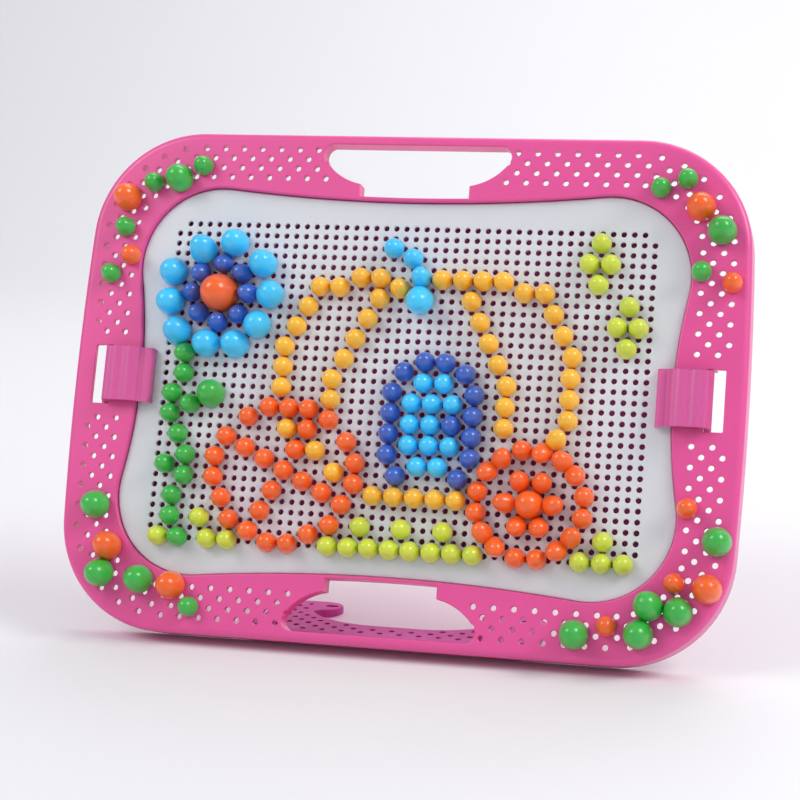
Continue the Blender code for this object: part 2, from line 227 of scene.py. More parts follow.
# Shading: where an edge counts as sharp, and how square a face is that counts as flat
SHARP_ANGLE = math.radians(38)
FLATNESS = math.cos(math.radians(1.5))

# Finishes: roughness, strength of the gloss coat, share of the light that sinks in and how far in mm
FINISHES = {
    "border_pink": (0.34, 0.15, 0.06, 3.0),
    "clip_pink": (0.24, 0.30, 0.10, 3.0),
    "foot_pink": (0.50, 0.0, 0.06, 3.0),
    "plate_white": (0.34, 0.15, 0.60, 12.0),
}
PEG_FINISH = (0.24, 0.35, 0.12, 3.0)
COAT_ROUGHNESS = 0.12
COATED_SPECULAR = 0.5
BARE_SPECULAR = 0.2
SMUDGE = 0.10                 # how much a finish's roughness varies
CLOUDINESS = 0.06             # how much its tint varies
EDGE_WEAR_AND_HIGHLIGHT = 0.12                   # how far the sharpest edges fade to pale, partly as wear and partly as a painted edge highlight
EDGE_WEAR_AND_HIGHLIGHT_PALE = 0.45              # and how pale they fade to
EDGE_WEAR_AND_HIGHLIGHT_POINTINESS = (0.52, 0.62)

# Noises: scale and detail
CLOUD_NOISE = (22.0, 3.0)
SMUDGE_NOISE = (60.0, 4.0)
GRAIN_NOISE = (1400.0, 2.0)
GRAIN_STRENGTH = 0.12
GRAIN_HEIGHT = 0.06           # in mm

# Floor, in metres: its reach, where it curves up behind the board, and how high
FLOOR_REACH = 30.0
FLOOR_BACK = 1.2
FLOOR_BEND = 0.6
FLOOR_TOP = 3.0
FLOOR_COLOUR = (0.77, 0.77, 0.79, 1.0)
FLOOR_ROUGHNESS = 0.6

# Strength of the pale sky as a light and as a backdrop
SKY_COLOUR = (0.95, 0.96, 1.0, 1.0)
SKY_LIGHT = 0.52
SKY_SEEN = 0.84

# Square lamps, in metres and watts: name, place, size, power; WALL_LAMP lights the wall behind
LAMPS = [
    ("right_box", (1.75, -0.25, 1.60), 1.0, 29.0),
    ("left_box", (-1.40, -1.08, 1.60), 1.0, 19.0),
    ("back", (0.2, 1.1, 1.4), 1.2, 7.0),
]
WALL_LAMP = ("backdrop", (0.0, 0.9, 1.3), 0.8, 3.2)
WALL_LAMP_AIM = (0.0, 1.6, 0.2)

# Camera: its place in metres, its lens in mm, and how far below the board's middle it aims
CAMERA_PLACE = (0.235, -0.930, 0.294)
CAMERA_LENS = 92.0
CAMERA_DROP = 0.004


def run(column, row, count, across=0, up=0):
    """Holes of a straight run, as (column, row) from the bottom left of the grid."""
    return [(column + across * i, row + up * i) for i in range(count)]


def round_the(column, row, offsets):
    """Holes at the given offsets from one hole."""
    return [(column + across, row + up) for across, up in offsets]


def ring_of_sixteen():
    """Offsets of a ring five holes out, the same in each quarter."""
    eighth = [(1, 5), (3, 4), (4, 3), (5, 1)]
    return [(sx * x, sy * y) for x, y in eighth for sx in (1, -1) for sy in (1, -1)]


# The pegs that stand in the plate besides the ones the frame holds: group, size, colour, holes
PATTERN = [
    ("flower_outer_petals", "medium", "light_blue", [(10, 24), (3, 28)]),
    ("flower_stem", "small", "green", [(2, 18), (2, 16), (1, 14), (3, 13), (1, 12), (2, 10)]
        + [(3, 8), (1, 7), (3, 6), (2, 4), (2, 2), (3, 0)]),
    ("grass_left", "small", "lime", [(1, 0), (5, 2), (6, 0), (8, 0)]),
    ("grass_middle", "small", "lime", run(18, 0, 8, 2) + run(21, 2, 3, 4)),
    ("grass_right", "small", "lime", run(42, 0, 3, 2) + [(44, 2)]),
    ("roof_left", "small", "yellow", [(21, 26), (19, 26), (17, 25), (15, 25)]
        + run(14, 23, 3, -1, -2) + run(12, 17, 2, 0, -2)),
    ("roof_right", "small", "yellow", run(27, 26, 3, 2) + [(35, 25), (37, 25)]
        + run(38, 23, 3, 1, -2) + run(40, 17, 3, 0, -2) + [(39, 11)]),
    ("rib_left", "small", "yellow", [(23, 25)] + run(21, 24, 5, -1, -2) + [(17, 14)]),
    ("rib_right", "small", "yellow", run(30, 24, 5, 1, -2) + run(34, 14, 2, 0, -2)),
    ("sill", "small", "yellow", run(22, 5, 5, 2)),
    ("left_wheel_spots", "small", "yellow", [(13, 11), (16, 9), (18, 7)]),
    ("finial", "small", "light_blue", [(22, 29), (24, 28), (25, 26)]),
    ("finial_base", "medium", "light_blue", [(25, 24)]),
    ("door_frame", "small", "dark_blue", [(26, 18), (28, 18), (30, 17), (24, 17)]
        + run(31, 15, 4, 0, -2) + [(30, 7)] + run(23, 15, 4, 0, -2) + [(24, 7)]),
    ("door_knob", "small", "dark_blue", [(29, 12)]),
    ("door", "small", "light_blue", run(26, 16, 2, 2) + run(25, 14, 3, 2)
        + run(25, 12, 2, 2) + run(25, 10, 3, 2) + run(26, 8, 2, 2)),
    ("left_wheel", "small", "orange", [(6, 8), (6, 6), (7, 4), (8, 2), (10, 1), (12, 0)]
        + [(14, 0), (16, 1), (18, 2), (19, 4), (20, 6), (20, 8), (19, 10)]),
    ("left_wheel_spokes", "small", "orange", run(7, 10, 6, 2, -1)
        + [(11, 3), (12, 5), (14, 9), (15, 11)]),
    ("left_wheel_top", "small", "orange", [(9, 12), (11, 13), (13, 13), (15, 13), (17, 12)]),
    ("right_wheel_hub", "medium", "orange", [(37, 5)]),
    ("right_wheel_spokes", "small", "orange", run(36, 7, 2, 2) + run(35, 5, 2, 4) + run(36, 3, 2, 2)),
    ("right_wheel", "small", "orange", round_the(37, 5, ring_of_sixteen())),
]

# Outlines


def arc(centre, radius, start, end, steps):
    """Points on an arc, with angles in degrees."""
    angles = [math.radians(start + (end - start) * i / steps) for i in range(steps + 1)]
    return [(centre[0] + radius * math.cos(a), centre[1] + radius * math.sin(a)) for a in angles]


def bowed_side(reach, along, corner, dip, steps):
    """Half of a bowed side from its middle to the corner's arc, and the arc's extra angle."""
    if dip == 0:
        return [], 0.0
    turn = 2 * math.atan(dip / along)
    radius = along / math.sin(turn) - corner
    points = [
        (
            reach - dip + radius * (1 - math.cos(turn * i / steps)),
            radius * math.sin(turn * i / steps),
        )
        for i in range(steps)
    ]
    return points, math.degrees(turn)


def pillow(half_w, half_h, corner, dip_w, dip_h, steps=24):
    """A rounded rectangle whose sides dip inwards (or bulge, where the dip is negative)."""
    centre = (half_w - corner, half_h - corner)
    right, turn_w = bowed_side(half_w, centre[1], corner, dip_w, 12)
    top, turn_h = bowed_side(half_h, centre[0], corner, dip_h, 12)
    quarter = right
    quarter += arc(centre, corner, -turn_w, 90 + turn_h, steps)
    quarter += [(x, y) for y, x in reversed(top)]
    half = quarter + [(-x, y) for x, y in reversed(quarter) if x > TINY]
    return half + [(x, -y) for x, y in reversed(half) if y > TINY]


def inset(points, distance):
    """The outline moved inwards, each corner along its own bisector (outwards if negative)."""
    if distance == 0:
        return list(points)
    moved = []
    for i, (x, y) in enumerate(points):
        x0, y0 = points[i - 1]
        x1, y1 = points[(i + 1) % len(points)]
        first = math.atan2(y - y0, x - x0)
        second = math.atan2(y1 - y, x1 - x)
        half_turn = math.remainder(second - first, math.tau) / 2
        normal = first + half_turn + math.pi / 2
        reach = distance / math.cos(half_turn)
        moved.append((x + reach * math.cos(normal), y + reach * math.sin(normal)))
    return moved


def rounded_rectangle(x0, x1, y0, y1, corner):
    """A rectangle's outline with rounded corners."""
    points = arc((x1 - corner, y1 - corner), corner, 0, 90, 5)
    points += arc((x0 + corner, y1 - corner), corner, 90, 180, 5)
    points += arc((x0 + corner, y0 + corner), corner, 180, 270, 5)
    return points + arc((x1 - corner, y0 + corner), corner, 270, 360, 5)


def handle_outline(side):
    """The handle opening at the top (side 1) or bottom (side -1), reaching into the tray."""
    outer = BORDER["half_h"] - BAR
    corner = (MOUTH - MOUTH_CORNER, outer - MOUTH_CORNER)
    right = [(NECK, PLATE["half_h"] - NECK_REACH)]
    right += arc(FLANK_CENTRE, FLANK_RADIUS, -80, -36, 14)
    right += arc(corner, MOUTH_CORNER, -15, 90, 12)
    whole = right + [(-x, y) for x, y in reversed(right)]
    return [(x, side * y) for x, y in whole[::side]]


def foot_outline():
    """The foot from above: a strip along the hinge, two arms, and tongues that curl in."""
    far = FOOT_DEPTH
    shoulder = (FOOT_HALF - FOOT_SHOULDER, FOOT_NECK + FOOT_SHOULDER_BACK)
    right = [(FOOT_HINGE_HALF, FOOT_AXIS_Y), (FOOT_HINGE_HALF, FOOT_NECK)]
    right += arc(shoulder, FOOT_SHOULDER, -75, 0, 5)
    right += arc((FOOT_HALF - FOOT_CORNER, far - FOOT_CORNER), FOOT_CORNER, 0, 90, 16)
    right += arc((TONGUE_X, far - TONGUE_END), TONGUE_END, 95, 265, 18)
    right += arc((FOOT_CURVE_X, FOOT_STRIP + FOOT_CURVE), FOOT_CURVE, -28, -90, 16)
    return right + [(-x, y) for x, y in reversed(right)]


def tongue_slot(side):
    """The long hole near the end of a tongue."""
    y = FOOT_DEPTH - TONGUE_END
    outer, inner = TONGUE_SLOT_ENDS
    points = arc((TONGUE_X - outer, y), TONGUE_SLOT, -90, 90, 8)
    points += arc((TONGUE_X - inner, y), TONGUE_SLOT, 90, 270, 8)
    return [(side * x, y) for x, y in points[::side]]


def clip_outline():
    """A clip across the border: underside, lip on the plate, crown and hinge barrel."""
    under = [(1.7, 0.0), (2.2, 3.2), (4.0, 4.8), (9.5, 5.3), (15.2, 4.9), (16.6, 4.2)]
    under += [(17.2, 2.9), (21.6, 2.2), (22.0, -0.7)]
    lip = arc((23.0, -0.6), 1.0, -90, 0, 4) + arc((22.4, 2.6), 1.6, 0, 90, 6)
    groove = arc((19.6, 5.3), 1.3, 240, 300, 5)[::-1]
    shoulder = arc((15.6, 4.6), 2.3, 10, 80, 6)
    hinge_side = arc((2.5, 3.9), 2.9, 100, 165, 8)
    barrel = arc((0.0, 0.0), 1.7, 165, 345, 12)
    top = shoulder + crown(shoulder[-1], hinge_side[0]) + hinge_side
    return under + lip + groove + top + barrel


def crown(start, end, steps=24):
    """The top of a clip between its two shoulders: two soft ridges with a shallow valley."""
    points = []
    for i in range(1, steps):
        share = i / steps
        u = start[0] + (end[0] - start[0]) * share
        base = start[1] + (end[1] - start[1]) * share
        ridges = CLIP_RIDGE * math.sin(2 * math.pi * share) ** 2
        points.append((u, base + ridges))
    return points


# Meshes


def new_object(name, mesh, place):
    made = bpy.data.objects.new(name, mesh)
    bpy.context.scene.collection.objects.link(made)
    made.matrix_world = place
    return made


def lofted(rings):
    """A closed skin through rings of equally many (x, y, z) points, bottom to top."""
    build = bmesh.new()
    loops = [[build.verts.new(Vector(point) * MM) for point in ring] for ring in rings]
    for lower, upper in zip(loops, loops[1:]):
        for i in range(len(lower)):
            build.faces.new((lower[i - 1], lower[i], upper[i], upper[i - 1]))
    build.faces.new(loops[0][::-1])
    build.faces.new(loops[-1])
    bmesh.ops.recalc_face_normals(build, faces=build.faces)
    mesh = bpy.data.meshes.new("loft")
    build.to_mesh(mesh)
    build.free()
    return mesh


def edge_steps(radius, steps=6):
    """(inset, drop) down a rounded edge, or a flare with its lip where the radius is negative."""
    size = abs(radius)
    sweep = 90 - EDGE_START
    turns = [math.radians(EDGE_START + sweep * i / steps) for i in range(steps + 1)]
    steps_down = [(size * (1 - math.sin(a)), size * (1 - math.cos(a))) for a in turns]
    if radius > 0:
        return [(size, 0.0)] + steps_down
    return [(-steps_down[0][0], -1.0)] + [(-inwards, drop) for inwards, drop in steps_down]


def standing(outline, bottom, top, low=0.0, high=0.0):
    """The outline standing from bottom to top, its edges rounded, or flared as a cutter's are."""
    rings = []
    for inwards, drop in edge_steps(low) if low else [(0.0, 0.0)]:
        rings.append([(x, y, bottom + drop) for x, y in inset(outline, inwards)])
    for inwards, drop in reversed(edge_steps(high) if high else [(0.0, 0.0)]):
        rings.append([(x, y, top - drop) for x, y in inset(outline, inwards)])
    return lofted(rings)


def turned(profile, places, sides):
    """Separate closed bodies turned from a profile of (radius, z), bottom to top."""
    build = bmesh.new()
    for cx, cy in places:
        loops = []
        for radius, z in profile:
            ring = arc((cx, cy), radius, 0, 360, sides)[:-1]
            loops.append([build.verts.new(Vector((x, y, z)) * MM) for x, y in ring])
        for lower, upper in zip(loops, loops[1:]):
            for i in range(sides):
                build.faces.new((lower[i - 1], lower[i], upper[i], upper[i - 1]))
        build.faces.new(loops[0][::-1])
        build.faces.new(loops[-1])
    mesh = bpy.data.meshes.new("turned")
    build.to_mesh(mesh)
    build.free()
    return mesh


def hole_cutter(places, radius, bottom, top, flare, sides):
    """Cutters for round holes whose upper edge is rounded."""
    profile = [(radius, bottom)]
    rounding = reversed(edge_steps(-flare, FLARE_STEPS))
    profile += [(radius - inwards, top - drop) for inwards, drop in rounding]
    return turned(profile, places, sides)


def rod(radius, half_length, sides=20):
    """A round bar along z, centred on the origin."""
    return turned([(radius, -half_length), (radius, half_length)], [(0.0, 0.0)], sides)


def carve(target, mesh, place, operation="DIFFERENCE"):
    """Cuts the mesh out of the target, or joins it on, and keeps the result."""
    tool = new_object("tool", mesh, place)
    modifier = target.modifiers.new("carve", "BOOLEAN")
    modifier.object = tool
    modifier.operation = operation
    modifier.solver = "MANIFOLD"
    bpy.context.view_layer.update()
    evaluated = target.evaluated_get(bpy.context.evaluated_depsgraph_get())
    result = bpy.data.meshes.new_from_object(evaluated)
    before = target.data
    target.modifiers.clear()
    target.data = result
    bpy.data.meshes.remove(before)
    bpy.data.objects.remove(tool)
    bpy.data.meshes.remove(mesh)


def carve_away(target, cutter, place):
    """Cuts one made object out of another and removes the cutter."""
    carve(target, cutter.data.copy(), place)
    bpy.data.objects.remove(cutter)


def keep_flat(mesh, out):
    """Lets the faces that lie square to out shade evenly: sharp edges round them, and no wear or
    painted edge highlight.
    """
    build = bmesh.new()
    build.from_mesh(mesh)
    flat = build.faces.layers.float.new("flat")
    for face in build.faces:
        face[flat] = float(abs(face.normal.dot(out)) > FLATNESS)
    for edge in build.edges:
        if len({face[flat] for face in edge.link_faces}) > 1:
            edge.smooth = False
    build.to_mesh(mesh)
    build.free()


def finish_piece(piece, name, colour, body, nodes, flat=None):
    """Shades a made piece, gives it its plastic and ties it to its body."""
    piece.name = name
    piece.data.name = name
    piece.data.transform(piece.matrix_world)
    piece.matrix_world = Matrix.Identity(4)
    piece.data.materials.clear()
    piece.data.materials.append(plastic(colour))
    piece.data.shade_smooth()
    piece.data.set_sharp_from_angle(angle=SHARP_ANGLE)
    if flat:
        keep_flat(piece.data, flat)
    even = piece.modifiers.new("even_shading", "WEIGHTED_NORMAL")
    even.keep_sharp = True
    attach(piece, body)
    if nodes:
        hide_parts(*nodes)


# Places


def board_matrix(record):
    """The flat drawing's place: its back lies at the mount on the back of the tray."""
    back = next(mount for mount in record["mounts"] if mount["name"] == "tray_back")
    out = -Vector(back["axis"]).normalized()
    origin = Vector(back["pos_m"]) + out * DEPTH * MM
    up = out.cross(Vector((1.0, 0.0, 0.0)))
    turn = Matrix((Vector((1.0, 0.0, 0.0)), up, out)).transposed().to_4x4()
    return Matrix.Translation(origin) @ turn


def hinge_place(joints, name):
    return Vector(next(joint["pos_m"] for joint in joints if joint["name"] == name))


def flat_box(node, board):
    """Lowest and highest corner of a CAD node in the flat drawing, in millimetres."""
    to_flat = board.inverted()
    points = [to_flat @ vertex.co / MM for vertex in node.data.vertices]
    low = Vector(min(point[axis] for point in points) for axis in range(3))
    high = Vector(max(point[axis] for point in points) for axis in range(3))
    return low, high


# Materials


def add_node(tree, kind, **settings):
    """A shader node with its inputs, or else its own settings, set by name."""
    node = tree.nodes.new(kind)
    for key, value in settings.items():
        if key in node.inputs:
            node.inputs[key].default_value = value
        else:
            setattr(node, key, value)
    return node


def add_range(tree, value, spread, within=(0.0, 1.0)):
    """Carries a value within one range over to another."""
    made = add_node(tree, "ShaderNodeMapRange")
    for name, number in zip(("From Min", "From Max", "To Min", "To Max"), (*within, *spread)):
        made.inputs[name].default_value = number
    tree.links.new(value, made.inputs["Value"])
    return made.outputs["Result"]


def add_noise(tree, place, scale, detail):
    noise = add_node(tree, "ShaderNodeTexNoise", Scale=scale, Detail=detail)
    tree.links.new(place.outputs["Object"], noise.inputs["Vector"])
    return noise.outputs["Fac"]


def cloudy_tint(tree, place, colour):
    """The colour, a little cloudy and a little different from peg to peg."""
    cloud = add_noise(tree, place, *CLOUD_NOISE)
    tint = add_range(tree, cloud, (1 - CLOUDINESS, 1 + CLOUDINESS))
    tone = add_node(tree, "ShaderNodeAttribute", attribute_name="tone")
    shade = add_node(tree, "ShaderNodeMath", operation="ADD")
    tree.links.new(tint, shade.inputs[0])
    tree.links.new(tone.outputs["Fac"], shade.inputs[1])
    body = add_node(tree, "ShaderNodeVectorMath", operation="SCALE")
    body.inputs[0].default_value = colour
    tree.links.new(shade.outputs["Value"], body.inputs["Scale"])
    return body.outputs["Vector"]


def worn_and_highlit_edges(tree, body, colour):
    """The body's colour, paler along its edges, partly as wear and partly as a painted highlight, but
    not on the faces marked flat.
    """
    curvature = add_node(tree, "ShaderNodeNewGeometry")
    # Paler convex edges: partly wear, partly a painted highlight along the rounded edges.
    wear_and_highlight = add_range(tree, curvature.outputs["Pointiness"], (0.0, EDGE_WEAR_AND_HIGHLIGHT), EDGE_WEAR_AND_HIGHLIGHT_POINTINESS)
    flat = add_node(tree, "ShaderNodeAttribute", attribute_name="flat")
    edge = add_node(tree, "ShaderNodeMath", operation="SUBTRACT", use_clamp=True)
    tree.links.new(wear_and_highlight, edge.inputs[0])
    tree.links.new(flat.outputs["Fac"], edge.inputs[1])
    worn_and_highlit = add_node(tree, "ShaderNodeMix", data_type="RGBA")
    _, colour_a, colour_b = (socket for socket in worn_and_highlit.inputs if socket.enabled)
    tree.links.new(edge.outputs["Value"], worn_and_highlit.inputs["Factor"])
    tree.links.new(body, colour_a)
    colour_b.default_value = (*((1 - EDGE_WEAR_AND_HIGHLIGHT_PALE) * c + EDGE_WEAR_AND_HIGHLIGHT_PALE for c in colour), 1.0)
    return next(socket for socket in worn_and_highlit.outputs if socket.enabled)


def fine_grain(tree, place):
    grain = add_noise(tree, place, *GRAIN_NOISE)
    height = GRAIN_HEIGHT * MM
    bump = add_node(tree, "ShaderNodeBump", Strength=GRAIN_STRENGTH, Distance=height)
    tree.links.new(grain, bump.inputs["Height"])
    return bump.outputs["Normal"]


def plastic(name):
    """Moulded plastic: cloudy tint, edges paler as wear and as a painted highlight, a fine grain and
    a light gloss coat.
    """
    found = bpy.data.materials.get("plastic_" + name)
    if found:
        return found
    colour = COLOURS[name]
    roughness, coat, sinks, reach = FINISHES.get(name, PEG_FINISH)
    made = bpy.data.materials.new("plastic_" + name)
    made.use_nodes = True
    made.diffuse_color = (*colour, 1.0)
    tree = made.node_tree
    shader = tree.nodes["Principled BSDF"]
    place = add_node(tree, "ShaderNodeTexCoord")
    tint = cloudy_tint(tree, place, colour)
    tree.links.new(worn_and_highlit_edges(tree, tint, colour), shader.inputs["Base Color"])
    smudge = add_noise(tree, place, *SMUDGE_NOISE)
    rough = add_range(tree, smudge, (roughness, roughness + SMUDGE))
    tree.links.new(rough, shader.inputs["Roughness"])
    tree.links.new(fine_grain(tree, place), shader.inputs["Normal"])
    settings = {
        "Specular IOR Level": COATED_SPECULAR if coat else BARE_SPECULAR,
        "Coat Weight": coat,
        "Coat Roughness": COAT_ROUGHNESS,
        "Subsurface Weight": sinks,
        "Subsurface Radius": colour,
        "Subsurface Scale": reach * MM,
    }
    for socket, value in settings.items():
        shader.inputs[socket].default_value = value
    return made


# Border and plate


def border_stations():
    """Points and outward directions along the first quarter of the border, handle to clip."""
    corner = BORDER["corner"]
    cx = BORDER["half_w"] - corner
    cy = BORDER["half_h"] - corner
    row = corner - ROW_INSET - 1.5 * ROW_STEP
    straight = cx - FIRST_STATION
    turned_length = row * math.pi / 2
    stations = []
    travel = 0.0
    while travel < straight + turned_length + cy - SLOT["half"] - LAST_STATION:
        if travel < straight:
            place, angle = (FIRST_STATION + travel, cy), math.pi / 2
        elif travel < straight + turned_length:
            place, angle = (cx, cy), math.pi / 2 - (travel - straight) / row
        else:
            place, angle = (cx, cy - (travel - straight - turned_length)), 0.0
        stations.append((place, angle))
        travel += STATION_STEP
    return stations


def border_holes():
    """Every hole of the border: even stations hold rows 1 and 3, odd ones rows 0 and 2."""
    holes = []
    for station, ((x, y), angle) in enumerate(border_stations()):
        for row in (0, 2) if station % 2 else (1, 3):
            reach = BORDER["corner"] - ROW_INSET - row * ROW_STEP
            hx = x + reach * math.cos(angle)
            hy = y + reach * math.sin(angle)
            holes += [(sx * hx, sy * hy) for sx in (1, -1) for sy in (1, -1)]
    return holes


def grid_place(column, row):
    return (column - (COLUMNS - 1) / 2) * PITCH, (row - (ROWS - 1) / 2) * PITCH


def plate_holes():
    """The square grid of the plate, without its four corner holes."""
    corners = [(c, r) for c in (0, COLUMNS - 1) for r in (0, ROWS - 1)]
    spots = [(c, r) for c in range(COLUMNS) for r in range(ROWS)]
    return [grid_place(c, r) for c, r in spots if (c, r) not in corners]


def make_border(board, joints):
    outer = pillow(**BORDER)
    seat = inset(pillow(**PLATE), -SEAT_GAP)
    tray_outer = inset(seat, -TRAY_WALL)
    block = standing(outer, -DEPTH, 0.0, low=BACK_EDGE, high=BORDER_EDGE)
    border = new_object("border", block, board)
    carve(border, standing(seat, PLATE_TOP - PLATE_THICK - GAP, 0.0, high=-SEAT_FLARE), board)
    tray = standing(inset(pillow(**PLATE), LEDGE), TRAY_FLOOR - DEPTH, 1.5 * PAST)
    carve(border, tray, board)

    hollow = new_object("hollow", standing(inset(outer, WALL), -DEPTH - PAST, -SKIN), board)
    carve(hollow, standing(tray_outer, -DEPTH - 2 * PAST, PAST), board)
    for side in (1, -1):
        cut_handle(border, hollow, tray_outer, side, board)
    for side in (1, -1):
        cut_clip_slot(border, hollow, side, board)
    carve_away(border, hollow, board)

    mark_back(border, tray_outer, board)
    for side in (1, -1):
        add_ear(border, side, joints)
        cut_clip_socket(border, side, board)
    holes = hole_cutter(border_holes(), PEG_HOLE, -2 * SKIN, 0.0, BORDER_FLARE, 16)
    carve(border, holes, board)
    out = board.to_3x3().col[2]
    finish_piece(border, "border", "border_pink", "board", ["border_tray"], flat=out)


def cut_handle(border, hollow, tray_outer, side, board):
    """A handle opening, which leaves a wall round itself and stops at the tray."""
    opening = handle_outline(side)
    carve(hollow, standing(inset(opening, -WALL), -OPENING_WALL, PAST), board)
    cutter = standing(opening, -DEPTH - 1.5 * PAST, 0.0, high=-OPENING_FLARE)
    through = new_object("through", cutter, board)
    rim = standing(inset(tray_outer, -RIM), -DEPTH - 2 * PAST, 0.0, high=RIM_EDGE)
    carve(through, rim, board)
    carve_away(border, through, board)


def cut_clip_slot(border, hollow, side, board):
    """A clip's slot, and the walls round it that carry its pin."""
    x0, x1 = sorted((side * (SLOT["x0"] - WALL), side * (HINGE_X + BEARING)))
    ends = SLOT["half"] + 2 * WALL
    bearings = rounded_rectangle(x0, x1, -ends, ends, BEARING_CORNER)
    carve(hollow, standing(bearings, -OPENING_WALL, PAST), board)
    x0, x1 = sorted((side * SLOT["x0"], side * SLOT["x1"]))
    slot = rounded_rectangle(x0, x1, -SLOT["half"], SLOT["half"], SLOT_CORNER)
    carve(border, standing(slot, -DEPTH - 1.2 * PAST, 0.0, high=-SLOT_FLARE), board)


def cut_clip_socket(border, side, board):
    along = Matrix.Translation(Vector((side * HINGE_X, 0.0, CLIP_AXIS_Z)) * MM)
    along = along @ Matrix.Rotation(math.pi / 2, 4, "X")
    carve(border, rod(CLIP_SOCKET, CLIP_HALF + 2 * WALL), board @ along)


def mark_back(border, tray_outer, board):
    """The moulding's marks on the tray's back: a groove round it and the ejector pins' prints."""
    outer = inset(tray_outer, GROOVE_INSET)
    ring = standing(outer, -DEPTH - PAST, -DEPTH + GROOVE_DEPTH, high=GROOVE_DEPTH / 2)
    groove = new_object("groove", ring, board)
    inner = inset(tray_outer, GROOVE_INSET + GROOVE_WIDTH)
    carve(groove, standing(inner, -DEPTH - 2 * PAST, 0.0), board)
    carve_away(border, groove, board)
    profile = [(PRINT_RADIUS, -DEPTH - PAST), (PRINT_RADIUS, -DEPTH + PRINT_DEPTH)]
    prints = [(x, y) for x in PRINTS_ACROSS for y in PRINTS_UP]
    carve(border, turned(profile, prints, 32), board)


def add_ear(border, side, joints):
    """A gusset on the border's lower wall with the socket of the foot's hinge pin."""
    hinge = hinge_place(joints, "foot_fold")
    edge_y = hinge.y / MM - FOOT_AXIS_Y
    lean = math.asin(border.matrix_world.to_3x3().col[2].z)
    rim = arc((FOOT_AXIS_Y, FOOT_THICK / 2), FOOT_BARREL, -110, 75, 20)
    for up, depth in EAR_ROOT:
        y = up * math.sin(lean) - depth * math.cos(lean)
        rim.append((y, up * math.cos(lean) + depth * math.sin(lean)))
    middle = side * (EAR_INNER + EAR_THICK / 2)
    across = Matrix(((0, 0, 1, 0), (1, 0, 0, 0), (0, 1, 0, 0), (0, 0, 0, 1)))
    upright = Matrix.Translation(Vector((middle, edge_y, 0.0)) * MM) @ across
    ear = standing(rim, -EAR_THICK / 2, EAR_THICK / 2, EAR_EDGE, EAR_EDGE)
    carve(border, ear, upright, "UNION")
    at_hinge = Matrix.Translation((middle * MM, hinge.y, hinge.z)) @ across
    carve(border, rod(FOOT_SOCKET, EAR_THICK), at_hinge)


def make_plate(board):
    back = PLATE_TOP - PLATE_THICK
    sheet = standing(pillow(**PLATE), back, PLATE_TOP, PLATE_BACK_EDGE, PLATE_EDGE)
    plate = new_object("plate", sheet, board)
    below = PLATE_TOP - 2 * PLATE_THICK
    holes = hole_cutter(plate_holes(), PEG_HOLE, below, PLATE_TOP, PLATE_FLARE, 12)
    carve(plate, holes, board)
    out = board.to_3x3().col[2]
    finish_piece(plate, "plate", "plate_white", "board", ["peg_plate"], flat=out)


# Clips and foot


def make_clip(side, name, board):
    hinge = Matrix.Translation(Vector((side * HINGE_X, 0.0, CLIP_AXIS_Z)) * MM)
    upright = board @ hinge @ Matrix.Rotation(math.pi / 2, 4, "X")
    outline = [(-side * u, w) for u, w in clip_outline()]
    shell = standing(outline, -CLIP_HALF, CLIP_HALF, CLIP_EDGE, CLIP_EDGE)
    clip = new_object(name, shell, upright)
    carve(clip, rod(CLIP_BARREL, SLOT["half"] - GAP), upright, "UNION")
    carve(clip, rod(CLIP_PIN, CLIP_HALF + CLIP_PIN_REACH), upright, "UNION")
    finish_piece(clip, name + "_shell", "clip_pink", name, [name])


def inside_outline(point, outline):
    """Whether the point lies inside the outline."""
    x, y = point
    inside = False
    for i, (x1, y1) in enumerate(outline):
        x0, y0 = outline[i - 1]
        if (y0 > y) != (y1 > y) and x < x0 + (y - y0) / (y1 - y0) * (x1 - x0):
            inside = not inside
    return inside


def foot_holes():
    """Staggered rows of holes wherever the foot is wide enough for them."""
    room = inset(foot_outline(), FOOT_MARGIN)
    holes = []
    for row in range(FOOT_ROWS):
        y = FOOT_FIRST_ROW + row * FOOT_HOLE_ROW
        for i in range(-FOOT_COLUMNS, FOOT_COLUMNS + 1):
            place = (i * FOOT_HOLE_ACROSS, y)
            on_row = (i + row) % 2 == 1
            if on_row and inside_outline(place, room) and not near_tongue_slot(place):
                holes.append(place)
    return holes


def near_tongue_slot(place):
    x, y = place
    clear_x, clear_y = TONGUE_CLEAR
    return abs(x) < TONGUE_X + clear_x and y > FOOT_DEPTH - 2 * TONGUE_END - clear_y


def thin_out(mesh):
    """Slopes the foot's top down from the strip at the hinge to the thin outer end."""
    for vertex in mesh.vertices:
        share = (vertex.co.y / MM - FOOT_STRIP) / (FOOT_DEPTH - FOOT_STRIP)
        vertex.co.z *= 1.0 - (1.0 - FOOT_TIP / FOOT_THICK) * min(1.0, max(0.0, share))


def make_foot(joints):
    hinge = hinge_place(joints, "foot_fold")
    place = Matrix.Translation(hinge - Vector((0.0, FOOT_AXIS_Y, FOOT_THICK / 2)) * MM)
    outline = foot_outline()
    block = standing(outline, 0.0, FOOT_THICK, FOOT_BACK_EDGE, FOOT_EDGE)
    foot = new_object("foot_piece", block, place)
    carve(foot, standing(inset(outline, WALL), -PAST, FOOT_THICK - FOOT_SKIN), place)
    for side in (1, -1):
        slot = standing(tongue_slot(side), 0.5 * PAST, FOOT_THICK, high=-TONGUE_SLOT_FLARE)
        carve(foot, slot, place)
    carve(foot, hole_cutter(foot_holes(), PEG_HOLE, PAST, FOOT_THICK, FOOT_FLARE, 14), place)
    thin_out(foot.data)
    along = Matrix.Translation(hinge) @ Matrix.Rotation(math.pi / 2, 4, "Y")
    carve(foot, rod(FOOT_BARREL, FOOT_HINGE_HALF, 32), along, "UNION")
    carve(foot, rod(FOOT_PIN, EAR_INNER + EAR_THICK), along, "UNION")
    finish_piece(foot, "foot_moulding", "foot_pink", "foot", ["foot"])


# Pegs


